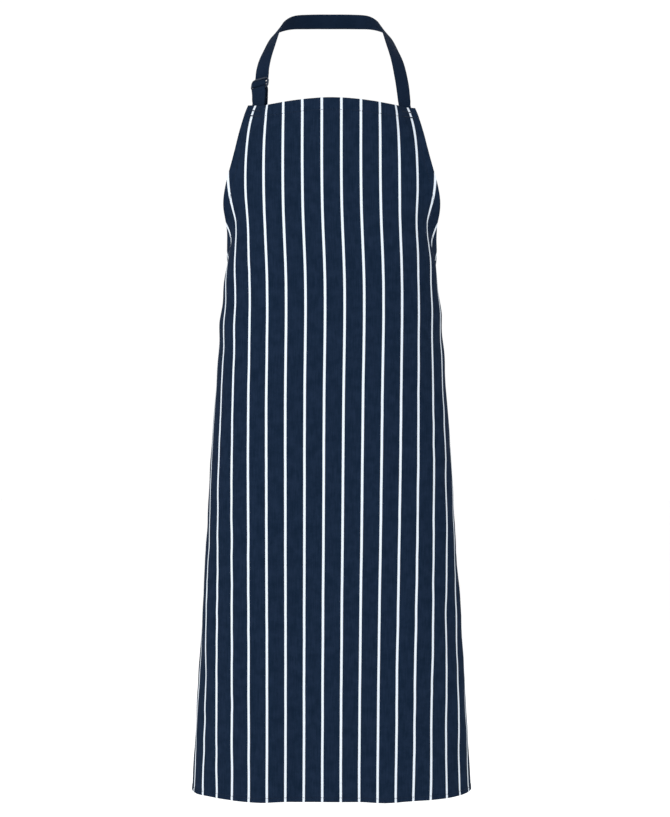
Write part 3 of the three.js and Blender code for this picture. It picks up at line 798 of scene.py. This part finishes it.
def make_hems():
    """The turned hems: level ones at the top and bottom, then each side's armhole and straight edge."""
    hems = []
    columns = np.linspace(-1, 1, 200)[None, :]
    for node, low, high in (("top_hem", HEM_EDGE, TOP_HEM),
                            ("bottom_hem", CUT_LENGTH - BOTTOM_HEM, CUT_LENGTH - HEM_EDGE)):
        down = np.linspace(low, high, 14)[:, None]
        across = columns * (cut_half_width(down) - HEM_END)
        down = np.broadcast_to(down, across.shape)
        hems.append(hem_strip(node, across, down))
    inset = np.linspace(0.2 * MM, SIDE_HEM, 10)
    first = math.asin((TOP_HEM + 0.6 * MM) / ARMHOLE_DEPTH)
    last = math.acos((SIDE_HEM + 1.2 * MM) / ARMHOLE_GROWTH)
    phi = even_steps(armhole_edge, first, last, 3 * MM)
    straight = np.arange(ARMHOLE_DEPTH + HEM_END, CUT_LENGTH - BOTTOM_HEM - HEM_END, 3.5 * MM)
    for hand, side in SIDES:
        across, down = beside_armhole(phi[:, None], inset[None, :])
        if side > 0:
            across, down = across[:, ::-1], down[:, ::-1]
        hems.append(hem_strip(f"armhole_{hand}_hem", side * across, down))
        down, across = np.meshgrid(straight, CUT_HALF_WIDTH - inset, indexing="ij")
        if side > 0:
            across = across[:, ::-1]
        hems.append(hem_strip(f"side_{hand}_hem", side * across, down))
    return hems


# ---- stitches
STITCH_STEP = 3.1 * MM
STITCH_SHARE = 0.82  # of the distance between two needle holes
THREAD = 0.7 * MM
THREAD_RINGS = 7
THREAD_SIDES = 8
THREAD_CLEAR = 0.08 * MM  # from the cloth to the thread's middle


def thread_faces(count):
    """Faces of `count` closed capsules."""
    capsule = tube_faces(THREAD_RINGS, THREAD_SIDES)
    size = THREAD_RINGS * THREAD_SIDES
    return [[v + base * size for v in face] for base in range(count) for face in capsule]


def thread_points(holes, out, thread):
    """One small arched capsule of thread between each needle hole and the next."""
    places = (holes[:-1] + holes[1:]) / 2
    run = holes[1:] - holes[:-1]
    out = (out[:-1] + out[1:]) / 2
    length = np.linalg.norm(run, axis=1, keepdims=True) * STITCH_SHARE
    along = unit(run)
    out = square_to(out, along)
    wide = np.cross(along, out)
    t = np.linspace(-1, 1, THREAD_RINGS)
    radius = thread / 2 * np.sqrt(np.clip(1 - t ** 4, 0.03, 1))
    arch = thread * (0.25 - 0.75 * t ** 2)
    points = []
    for r in range(THREAD_RINGS):
        for k in range(THREAD_SIDES):
            angle = 2 * math.pi * k / THREAD_SIDES
            points.append(places + along * (t[r] / 2) * length + out * (arch[r] + radius[r] * math.cos(angle))
                          + wide * (radius[r] * math.sin(angle)))
    return np.stack(points, axis=1).reshape(-1, 3)


def seam(node, across, down, behind, thread=THREAD):
    """Stitches between needle holes of the flat cloth, on the face and `behind` the middle surface."""
    lift = relief(across, down)
    middle = cloth.at(across, down)
    normal = cloth.normal(across, down)
    front = middle + normal * (lift + CLOTH / 2 + THREAD_CLEAR)[:, None]
    back = middle + normal * (lift - behind - THREAD_CLEAR)[:, None]
    points = np.vstack([thread_points(front, normal, thread), thread_points(back, -normal, thread)])
    piece = new_piece(node + "_thread", points, thread_faces(2 * (len(across) - 1)))
    stand_for(piece, node, "thread")


def make_seams():
    """The lines of stitches along every hem."""
    behind = CLOTH / 2 + HEM_THICK
    for node, level in (("top_hem_stitching", TOP_HEM - STITCH_INSET),
                        ("bottom_hem_stitching", CUT_LENGTH - BOTTOM_HEM + STITCH_INSET)):
        reach = cut_half_width(np.array(level)) - 2 * MM
        across = np.linspace(-reach, reach, int(2 * reach / STITCH_STEP))
        seam(node, across, np.full(across.shape, level), behind)
    inset = SIDE_HEM - STITCH_INSET
    first = math.asin((TOP_HEM - 2 * MM) / ARMHOLE_DEPTH)
    last = math.acos(inset / ARMHOLE_GROWTH)
    phi = even_steps(lambda place: beside_armhole(place, inset), first, last, STITCH_STEP)
    for hand, side in SIDES:
        across, down = beside_armhole(phi, inset)
        seam(f"armhole_{hand}_stitching", side * across, down, behind)
        down = np.arange(ARMHOLE_DEPTH + inset + STITCH_STEP, CUT_LENGTH - BOTTOM_HEM, STITCH_STEP)
        across = np.full(down.shape, CUT_HALF_WIDTH - inset)
        seam(f"side_{hand}_stitching", side * across, down, behind)


# ---- tapes
FACE_STEPS = 11
EDGE_STEPS = 3


def tape_section():
    """A tape's section as (across, out) points, anticlockwise, with rounded and firmer selvedges."""
    half = TAPE / 2
    reach = TAPE_WIDTH / 2 - half
    flat = np.linspace(-1, 1, FACE_STEPS) * reach
    firm = 1 + 0.16 * bell(np.abs(flat) - TAPE_WIDTH / 2 + 1.2 * MM, 0.7 * MM)
    angle = np.linspace(0, math.pi, EDGE_STEPS + 2)[1:-1]
    right = np.stack([reach + half * np.sin(angle), -half * np.cos(angle)], axis=1)
    low = np.stack([flat, -half * firm], axis=1)
    high = np.stack([flat[::-1], half * firm[::-1]], axis=1)
    return np.vstack([low, right, high, -right])


class Frames:
    """Stations along a tape: its middle line, its along, wide and out directions, and their distances."""

    def __init__(self, at, across):
        self.at = np.asarray(at, float)
        self.along = unit(np.gradient(self.at, axis=0))
        across = np.broadcast_to(np.asarray(across, float), self.at.shape)
        self.wide = square_to(across, self.along)
        self.out = np.cross(self.along, self.wide)
        self.length = distances_along(self.at)

    def part(self, start, end):
        """The same stations from one index to another, with no change at the cut."""
        piece = object.__new__(Frames)
        for key in ("at", "along", "wide", "out", "length"):
            setattr(piece, key, getattr(self, key)[start:end])
        return piece


def tape(node, frames, part="tape", cup=0.0, warp=None, body="root"):
    """A woven tape along its frames. `cup` is how far its width is rolled, in radians."""
    section = tape_section()
    u, t = section[:, 0][None, :, None], section[:, 1][None, :, None]
    roll = np.broadcast_to(np.asarray(cup, float), frames.length.shape).clip(1e-4)[:, None, None]
    radius = TAPE_WIDTH / roll
    angle = u / radius
    wide, out = frames.wide[:, None], frames.out[:, None]
    facing = out * np.cos(angle) + wide * np.sin(angle)
    points = (frames.at[:, None] + wide * (radius * np.sin(angle))
              - out * (radius * (1 - np.cos(angle))) + facing * t)
    if warp is not None:
        points = warp(points, frames, section)
    rows, around = points.shape[:2]
    uv = np.empty((rows, around, 2))
    uv[..., 0] = section[:, 0]
    uv[..., 1] = frames.length[:, None]
    faces = tube_faces(rows, around)
    piece = new_piece(f"{node}_{part}", points.reshape(-1, 3), faces, uv.reshape(-1, 2))
    sharpen_ends(piece.data, rows, around)
    return stand_for(piece, node, "woven_tape", body)


def sharpen_ends(mesh, rows, around):
    """Keep the shading of a tape flat across its two cut ends."""
    start = set(range(around))
    end = set(range((rows - 1) * around, rows * around))
    for edge in mesh.edges:
        ends = set(edge.vertices)
        edge.use_edge_sharp = ends <= start or ends <= end


# ---- the neck strap and its slider
SLIDER_HALF_WIDTH = 16 * MM
SLIDER_HALF_HEIGHT = 10 * MM
SLIDER_THICKNESS = 3.2 * MM
SLIDER_BAR = 2.8 * MM
SLIDER_ROUND = 7.5 * MM
SLIDER_EDGE = 1.1 * MM  # how far its edges are rounded
SLIDER_CORNER_STEPS = 9
SLOT_ROUND = 1.6 * MM
SLIDER_CENTRE_BAR = 2.6 * MM
SLIDER_SLOT_HALF_WIDTH = 13.2 * MM
SLIDER_RISE = 40.5 * MM  # above the bib's edge: 1.5 mm less than in the CAD, for the lifted corner
BAR_MIDDLE = SLIDER_HALF_HEIGHT - SLIDER_BAR / 2
OVER = SLIDER_THICKNESS / 2 + TAPE / 2 + 0.15 * MM
SEWN_BEHIND = -2.35 * MM  # a tape's middle behind the cloth and its hem
SQUASH_Z = -0.112  # the loop above here crumples when the strap is shortened

# Half of the neck loop, from the back of the neck down to the bib: place and width direction.
NECK_RUN = [
    ((0, 0, 0), (0, -0.62, 0.79)),
    ((34, -7, -2), (-0.12, -0.62, 0.78)),
    ((62, -24, -8), (-0.3, -0.62, 0.72)),
    ((79, -45, -21), (-0.5, -0.6, 0.6)),
    ((86, -60, -34), (-0.62, -0.6, 0.45)),
    ((94, -95, -64), (-0.74, -0.6, 0.28)),
    ((101.5, -120, -93), (-0.8, -0.56, 0.14)),
    ((107.5, -134, -127), (-0.83, -0.53, 0.1)),
]


def sewn_station(side, down):
    """The sewn end follows the bib: its middle is STRAP_CENTRE out, and it is flat on the cloth."""
    half = TAPE_WIDTH / 2
    middle, inner, outer = cloth.at(side * np.array([STRAP_CENTRE, STRAP_CENTRE - half, STRAP_CENTRE + half]),
                                    np.full(3, down))
    return middle * 0.5 + (inner + outer) * 0.25, unit(inner - outer)


class NeckLine:
    """The strap's line from the wearer's left corner (+X) over the neck to the slider's side."""

    def __init__(self):
        halves = []
        for side in (1, -1):
            flip = np.array([side, 1, 1])
            run = [(np.array(at) * MM * flip, np.array(across) * flip) for at, across in NECK_RUN]
            halves.append(run + [sewn_station(side, 0.0), sewn_station(side, TOP_HEM)])
        stations = halves[0][::-1] + halves[1][1:]
        count = 1201
        self.at = catmull_rom([at for at, _ in stations], count)
        self.across = catmull_rom([across for _, across in stations], count, centripetal=False)
        self.places = distances_along(self.at)
        self.length = self.places[-1]
        # Distances along it in millimetres: its sewn end behind the hem, the bib's edge and the slider.
        self.end = self.length / MM
        self.edge = self.end - TOP_HEM / MM
        self.slider = self.edge - SLIDER_RISE / MM

    def place(self, distance):
        """The place at a distance in millimetres."""
        return tuple(self.frame(distance * MM)[0][0])

    def frame(self, distance):
        """Place and directions of the line at some distances along it."""
        distance = np.clip(np.atleast_1d(distance), 0, self.length)
        at, across, along = (
            np.stack([np.interp(distance, self.places, values[:, k]) for k in range(3)], axis=1)
            for values in (self.at, self.across, np.gradient(self.at, axis=0)))
        along = unit(along)
        wide = square_to(across, along)
        return at, along, wide, np.cross(along, wide)

    def lay(self, route, count):
        """Frames of a tape laid along the line, from (distance, offset outward) points."""
        flat = catmull_rom(np.asarray(route) * MM, count)
        at, _, wide, out = self.frame(flat[:, 0])
        return Frames(at + out * flat[:, 1:], wide), flat[:, 0]


def hug_bib(line, distances):
    """A warp that lays a tape's sewn ends flat on the curved bib."""
    top_right = line.length - TOP_HEM

    def warp(points, frames, section):
        down = np.maximum(distances - top_right, TOP_HEM - distances)
        side = np.where(distances > line.length / 2, -1, 1)
        share = smooth(1 + down / (16 * MM))[:, None, None]
        across = side[:, None] * STRAP_CENTRE - side[:, None] * section[:, 0]
        rows = np.broadcast_to(np.maximum(down, 0)[:, None], across.shape)
        line_at, _, _, line_out = line.frame(distances)
        middle_offset = ((frames.at - line_at) * line_out).sum(axis=1)
        facing = np.sign((frames.out * line_out).sum(axis=1))
        offset = middle_offset[:, None] + facing[:, None] * section[:, 1]
        on_cloth = cloth.at(across, rows, offset)
        up = unit(cloth.at(across, 0.0) - cloth.at(across, 6 * MM))
        on_cloth = on_cloth + up * np.maximum(-down, 0)[:, None, None]
        return points * (1 - share) + on_cloth * share

    return warp


def make_neck_strap(line):
    """The strap in three lengths: sewn end, loop over the neck, and the weave through the slider."""
    slider = line.slider
    bar, over = BAR_MIDDLE / MM, OVER / MM
    sewn, top = SEWN_BEHIND / MM, TOP_HEM / MM
    frames, distances = line.lay([
        (0.6, sewn), (top - 2, sewn), (top + 8, sewn / 3), (top + 24, 0),
        (line.end / 2, 0),
        (slider - 26, 0), (slider - 16, -1.6), (slider - bar, -over - 0.2), (slider - 6.9, -2.0),
        (slider - 6.1, -0.2), (slider - 5.2, 1.3), (slider - 3.4, over - 0.1), (slider, over + 0.1),
        (slider + 2.2, over - 0.3), (slider + 3.6, 0.4), (slider + 4.2, -1.2), (slider + 4.6, -over - 1.2),
    ], 620)
    above = np.where(frames.at[:, 2] > SQUASH_Z)[0]
    first, last = above[0], above[-1]
    warp = hug_bib(line, distances[:first + 1])
    tape("neck_strap", frames.part(0, first + 1), part="sewn_end", warp=warp)
    loop = tape("neck_strap", frames.part(first, last + 1), part="loop")
    weave = tape("neck_strap", frames.part(last, len(distances)), part="in_slider", body=None)
    # Both of the loop's ends are level with the anchor along this axis, so neither of them moves.
    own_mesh(loop)
    line.place(slider - 19)
    line.place(slider - 11)
    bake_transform(weave)


def make_strap_tail(line):
    """The free end comes out behind the tab and hangs behind the bib."""
    slider = line.slider
    frames, _ = line.lay([
        (slider + 4.4, -2.2), (slider + 6.5, -4.4), (slider + 10, -5.6), (slider + 16, -6.2),
        (line.edge - 4, -8.2), (line.end - 1, -9.4),
    ], 90)
    tail = tape("strap_tail", frames, body=None)
    line.place(slider + 6)
    line.place(slider + 14)
    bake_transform(tail)


def make_slider_tab(line):
    """A short tab sewn behind the bib and folded round the slider's lower bar."""
    bar = line.slider + BAR_MIDDLE / MM
    top = line.edge
    end = line.end - 0.6
    front = SEWN_BEHIND / MM
    back = front - TAPE / MM - 0.1
    loop = math.hypot(SLIDER_BAR, SLIDER_THICKNESS) / 2 / MM + TAPE / MM / 2
    frames, distances = line.lay([
        (end, front), (top + 2, front), (top - 8, -0.9), (bar + 7, 0.9), (bar + 2, loop - 0.35),
        (bar, loop), (bar - 0.7 * loop, 0.7 * loop), (bar - loop, 0), (bar - 0.7 * loop, -0.7 * loop),
        (bar, -loop), (bar + 2, 0.35 - loop), (bar + 7, -1.0), (top - 8, -2.3),
        (top + 2, back), (end, back),
    ], 260)
    tape("slider_tab", frames, warp=hug_bib(line, distances))


# ---- the slider's plate
def add_outline(curve, half_width, low, high, radius):
    """Add a closed rectangle with round corners to a flat curve."""
    middles = [(1, high - radius), (-1, high - radius), (-1, low + radius), (1, low + radius)]
    points = []
    for quarter, (side, y) in enumerate(middles):
        for angle in np.linspace(quarter, quarter + 1, SLIDER_CORNER_STEPS) * math.pi / 2:
            x = side * (half_width - radius)
            points.append((x + radius * math.cos(angle), y + radius * math.sin(angle), 0, 1))
    spline = curve.splines.new("POLY")
    spline.points.add(len(points) - 1)
    spline.points.foreach_set("co", np.ravel(points))
    spline.use_cyclic_u = True


def slider_plate():
    """The mesh of a three-bar plate with round ends, two slots and rounded bars."""
    curve = bpy.data.curves.new("slider_outline", "CURVE")
    curve.dimensions = "2D"
    curve.fill_mode = "BOTH"
    curve.extrude = SLIDER_THICKNESS / 2 - SLIDER_EDGE
    curve.bevel_depth = SLIDER_EDGE
    curve.bevel_resolution = 4
    curve.offset = -SLIDER_EDGE
    slot_far = SLIDER_HALF_HEIGHT - SLIDER_BAR
    slot_near = SLIDER_CENTRE_BAR / 2
    add_outline(curve, SLIDER_HALF_WIDTH, -SLIDER_HALF_HEIGHT, SLIDER_HALF_HEIGHT, SLIDER_ROUND)
    add_outline(curve, SLIDER_SLOT_HALF_WIDTH, slot_near, slot_far, SLOT_ROUND)
    add_outline(curve, SLIDER_SLOT_HALF_WIDTH, -slot_far, -slot_near, SLOT_ROUND)
    outline = bpy.data.objects.new("slider_outline", curve)
    plate = bpy.data.meshes.new_from_object(outline)
    welded = bmesh.new()
    welded.from_mesh(plate)
    bmesh.ops.remove_doubles(welded, verts=welded.verts, dist=0.01 * MM)
    welded.to_mesh(plate)
    welded.free()
    bpy.data.objects.remove(outline)
    bpy.data.curves.remove(curve)
    return plate


def make_slider(line):
    """The plate on the strap's line, square to it."""
    plate = slider_plate()
    at, along, wide, out = (v[0] for v in line.frame(line.slider * MM))
    turn_to = Matrix((wide, -along, out)).transposed().to_4x4()
    turn_to.translation = at
    plate.transform(turn_to)
    plate.shade_smooth()
    piece = add_object("slider_plate", plate)
    piece.modifiers.new("even_shading", "WEIGHTED_NORMAL")
    stand_for(piece, "slider", "slider_plastic", body="slider")


# ---- waist ties and their bow
BOW = np.array([0, 48 * MM, BIB_TOP_Z - TIE_DOWN])
KNOT_HALF_WIDTH = 11 * MM
KNOT_HALF_HEIGHT = 14 * MM
KNOT_HALF_DEPTH = 8 * MM
TAIL_LENGTH = 0.470
LOOP_DROOP = math.radians(24)
KNOT_AROUND = 72
KNOT_ALONG = 31

# Millimetres out from the middle, back from the wearer's neck, and up from the bow.
TIE_RUN = [(62, 29, -1.5), (36, 39, -1), (16, 45, 0), (5, 48, 0)]

# Millimetres along a loop, back from the bow, and up.
LOOP_RUN = [
    (4, 2.2, 0), (14, 4.6, 0), (30, 7.0, -0.6), (58, 7.6, -1.6), (84, 6.6, -1.4), (93, 10.4, -1.6),
    (86, 14.6, -2.2), (60, 16.4, -3), (34, 13.6, -1.4), (14, 8.6, 0), (4, 4.4, 0),
]


def gathered(distance, most, reach):
    """How far a tape is rolled up at some distances from the knot, in radians."""
    return most * (1 - smooth(distance / reach))


def make_waist_ties():
    """From inside the side hems round the wearer's back, gathered into the knot."""
    for hand, side in SIDES:
        edge = side * (CUT_HALF_WIDTH - 2 * MM)
        sewn = [cloth.at(side * (CUT_HALF_WIDTH - inset * MM), TIE_DOWN, SEWN_BEHIND)
                for inset in (24, 14, 2)]
        sewn.append(2 * sewn[2] - sewn[1])
        free = [(side * out * MM, back * MM, BOW[2] + up * MM) for out, back, up in TIE_RUN]
        count = 160
        at = catmull_rom(np.array(sewn + free), count)
        lean = unit(cloth.at(edge, TIE_DOWN - TAPE_WIDTH / 2) - cloth.at(edge, TIE_DOWN + TAPE_WIDTH / 2))
        level = smooth(np.linspace(0, 2, count) - 0.6)[:, None]
        across = lean * (1 - level) + np.array([0, 0, 1]) * level
        frames = Frames(at, across * -side)
        from_knot = frames.length[-1] - frames.length
        cup = gathered(from_knot, 2.9, 58 * MM)
        tape(f"waist_tie_{hand}", frames, cup=cup)


def make_bow_loops():
    """Each loop leaves the knot, folds over at its tip and comes back behind itself."""
    for hand, side in SIDES:
        along = np.array([side * math.cos(LOOP_DROOP), 0, -math.sin(LOOP_DROOP)])
        across = np.array([side * math.sin(LOOP_DROOP), 0, math.cos(LOOP_DROOP)])
        points = [BOW + (along * out + np.array([0, back, up])) * MM for out, back, up in LOOP_RUN]
        at = catmull_rom(points, 170)
        frames = Frames(at, across * -side)
        total = frames.length[-1]
        nearest = np.minimum(frames.length, total - frames.length)
        cup = gathered(nearest, 2.7, 46 * MM) + 0.25
        tape(f"bow_loop_{hand}", frames, cup=cup)


def make_tie_tails():
    """The ties' free ends hang from under the knot, a little apart."""
    for hand, side in SIDES:
        top = BOW[2] - KNOT_HALF_HEIGHT - 3.8 * MM
        y = BOW[1] - side * 2.5 * MM
        free = [(side * (14 + 0.8 * math.sin(share * 5)) * MM, y + 1.6 * MM * math.sin(share * 7.5 + side),
                 top - share * TAIL_LENGTH) for share in np.linspace(0.06, 1, 9)]
        bunched = [(side * 4.5 * MM, BOW[1] + 0.5 * MM, BOW[2] - 5 * MM),
                   (side * 8.5 * MM, y + 0.6 * MM, BOW[2] - 13 * MM),
                   (side * 12 * MM, y, top - 4 * MM)]
        at = catmull_rom(bunched + free, 260)
        frames = Frames(at, (-1, 0, 0))
        cup = gathered(frames.length, 2.6, 70 * MM) + 0.12 * np.sin(frames.length / (45 * MM)) ** 2
        tail = tape(f"tie_tail_{hand}", frames, cup=cup, body=None)
        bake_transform(tail)


def make_knot():
    """The wrap that holds the bow: a band of folded tape around its middle."""
    around, along = KNOT_AROUND, KNOT_ALONG
    angle = np.linspace(0, 2 * math.pi, around, endpoint=False)[:, None]
    x = np.linspace(-1, 1, along + 2)[None, 1:-1]
    crown = (1 - np.abs(x) ** 3.2) ** 0.42
    pleat = 0.055 * np.cos(x * 8.5 + 1.1 * np.sin(angle)) + 0.03 * np.cos(x * 17 + 2 * np.cos(angle))
    size = crown * (0.93 + pleat)
    lean = 0.16 * np.sin(angle)
    points = np.stack([
        KNOT_HALF_WIDTH * (x + lean * crown),
        KNOT_HALF_DEPTH * size * np.sin(angle),
        KNOT_HALF_HEIGHT * size * np.cos(angle),
    ], axis=-1) + BOW
    uv = np.stack(np.broadcast_arrays(x * TAPE_WIDTH / 2, angle * 11 * MM), axis=-1)
    i, k = np.meshgrid(np.arange(around), np.arange(along - 1), indexing="ij")
    after = (i + 1) % around
    faces = np.stack([i * along + k, i * along + k + 1, after * along + k + 1, after * along + k], axis=-1)
    faces = faces.reshape(-1, 4).tolist()
    faces.append([n * along for n in range(around)])
    faces.append([n * along + along - 1 for n in range(around)][::-1])
    knot = new_piece("bow_knot_wrap", points.reshape(-1, 3), faces, uv.reshape(-1, 2))
    stand_for(knot, "bow_knot", "woven_tape")


# ---- stitches through the tapes
BAR_TACK_HALF_LENGTH = 11.5 * MM
BAR_TACK_HALF_HEIGHT = 1.1 * MM
BAR_TACK_THREAD = 1.0 * MM
BAR_TACK_STEP = 0.6 * MM
BAR_TACK_ROWS = (("upper", 8.5 * MM), ("lower", 16.8 * MM))
TIE_BOX_INSET = 17 * MM
TIE_BOX = [(-6, -9), (6, -9), (6, 9), (-6, 9), (-6, -9), (6, 9), (6, -9), (-6, 9)]


def bar_tack(node, side, down, behind):
    """A row of close zigzag stitches across the strap's sewn end."""
    across = np.arange(-BAR_TACK_HALF_LENGTH, BAR_TACK_HALF_LENGTH, BAR_TACK_STEP)
    zigzag = BAR_TACK_HALF_HEIGHT * (-1) ** np.arange(len(across))
    seam(node, side * (STRAP_CENTRE + across), down + zigzag, behind, BAR_TACK_THREAD)


def tie_box(node, side, behind):
    """A crossed box of stitches through the side hem and the tie's sewn end."""
    corners = np.array(TIE_BOX) * MM
    place = distances_along(corners)
    along = np.linspace(0, place[-1], int(place[-1] / STITCH_STEP) + 1)
    across = side * (CUT_HALF_WIDTH - TIE_BOX_INSET + np.interp(along, place, corners[:, 0]))
    down = TIE_DOWN + np.interp(along, place, corners[:, 1])
    seam(node, across, down, behind)


def make_tape_stitches():
    """The stitches that hold the strap, the tab and the waist ties."""
    behind = CLOTH / 2 + HEM_THICK + TAPE
    for hand, side in SIDES:
        for row, down in BAR_TACK_ROWS:
            bar_tack(f"strap_stitch_{row}_{hand}", side, down, behind)
        tie_box(f"tie_stitch_{hand}", side, behind)


# ---- making it all
def main():
    make_camera()
    make_studio()
    make_floor()
    panel = make_panel()
    hems = make_hems()
    make_seams()
    line = NeckLine()
    make_neck_strap(line)
    make_strap_tail(line)
    make_slider_tab(line)
    make_slider(line)
    make_waist_ties()
    make_bow_loops()
    make_tie_tails()
    make_knot()
    make_tape_stitches()


main()
